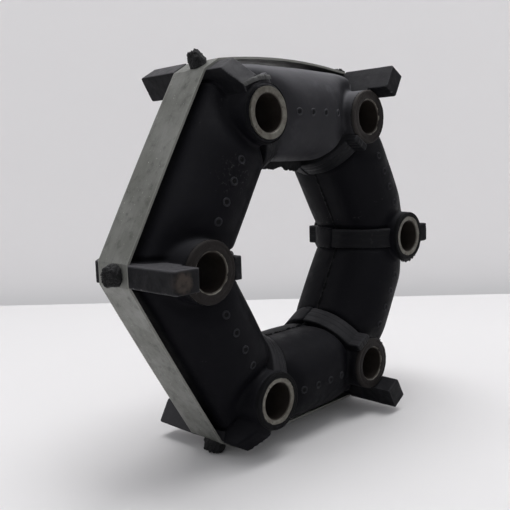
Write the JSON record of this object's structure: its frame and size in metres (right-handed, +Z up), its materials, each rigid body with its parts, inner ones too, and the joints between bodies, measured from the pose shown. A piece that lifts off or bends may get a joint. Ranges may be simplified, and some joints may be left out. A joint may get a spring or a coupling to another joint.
{
  "type": "rubber ring drive coupling",
  "caption": "Hexagonal rubber ring coupling with steel bolt bushes, lugs turned alternately to each side, and a steel compression band round the lugs.",
  "frame": {"origin": "centre of the bolt circle, halfway between the two flange faces", "axes": "+Y along the shaft axis, from the pictured front face to the rear; +Z up as the coupling stands on its two lowest pegs; +X to the right seen from the front"},
  "size_m": [0.1632, 0.0578, 0.1432],
  "materials": {
    "moulded_rubber": "moulded black rubber, dull with a dusty sheen",
    "torn_rubber": "torn black rubber",
    "coated_steel": "steel under a thin film of black rubber, worn at the edges",
    "bush_steel": "dull turned steel, slightly olive",
    "band_steel": "dull rolled steel strip"
  },
  "bodies": {
    "root": {"rubber_body": "moulded_rubber", "compression_band": "band_steel", "bush_tube_1": "bush_steel", "outer_lug_1": "coated_steel", "inner_fin_1": "coated_steel", "band_peg_1": "torn_rubber", "bush_tube_2": "bush_steel", "outer_lug_2": "coated_steel", "inner_fin_2": "coated_steel", "band_peg_2": "torn_rubber", "bush_tube_3": "bush_steel", "outer_lug_3": "coated_steel", "inner_fin_3": "coated_steel", "band_peg_3": "torn_rubber", "bush_tube_4": "bush_steel", "outer_lug_4": "coated_steel", "inner_fin_4": "coated_steel", "band_peg_4": "torn_rubber", "bush_tube_5": "bush_steel", "outer_lug_5": "coated_steel", "inner_fin_5": "coated_steel", "band_peg_5": "torn_rubber", "bush_tube_6": "bush_steel", "outer_lug_6": "coated_steel", "inner_fin_6": "coated_steel", "band_peg_6": "torn_rubber"}
  },
  "joints": []
}
